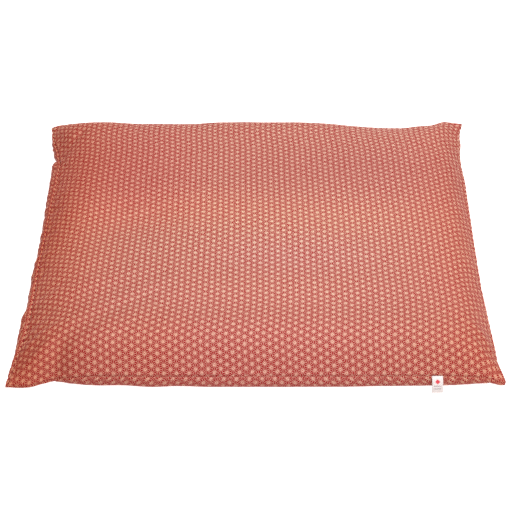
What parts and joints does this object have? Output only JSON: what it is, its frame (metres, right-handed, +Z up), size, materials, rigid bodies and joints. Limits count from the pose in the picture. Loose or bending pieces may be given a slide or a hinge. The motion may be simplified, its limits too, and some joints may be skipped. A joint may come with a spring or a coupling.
{
  "type": "floor cushion",
  "caption": "Wide flat zabuton floor cushion with a knife-edge seam, four soft corner ears and a small folded tape label caught in the near seam.",
  "frame": {"origin": "centre of the footprint, on the surface that the cushion lies on", "axes": "+X along the labelled side, towards its right end as seen from that side, +Y away from the labelled side, +Z up"},
  "size_m": [0.8008, 0.761, 0.0786],
  "materials": {
    "printed_cotton": "matt plain-weave cotton, a cream hemp leaf print on red",
    "satin_tape": "smooth white satin tape"
  },
  "bodies": {
    "root": {"cushion": "printed_cotton", "label": "satin_tape"}
  },
  "joints": []
}
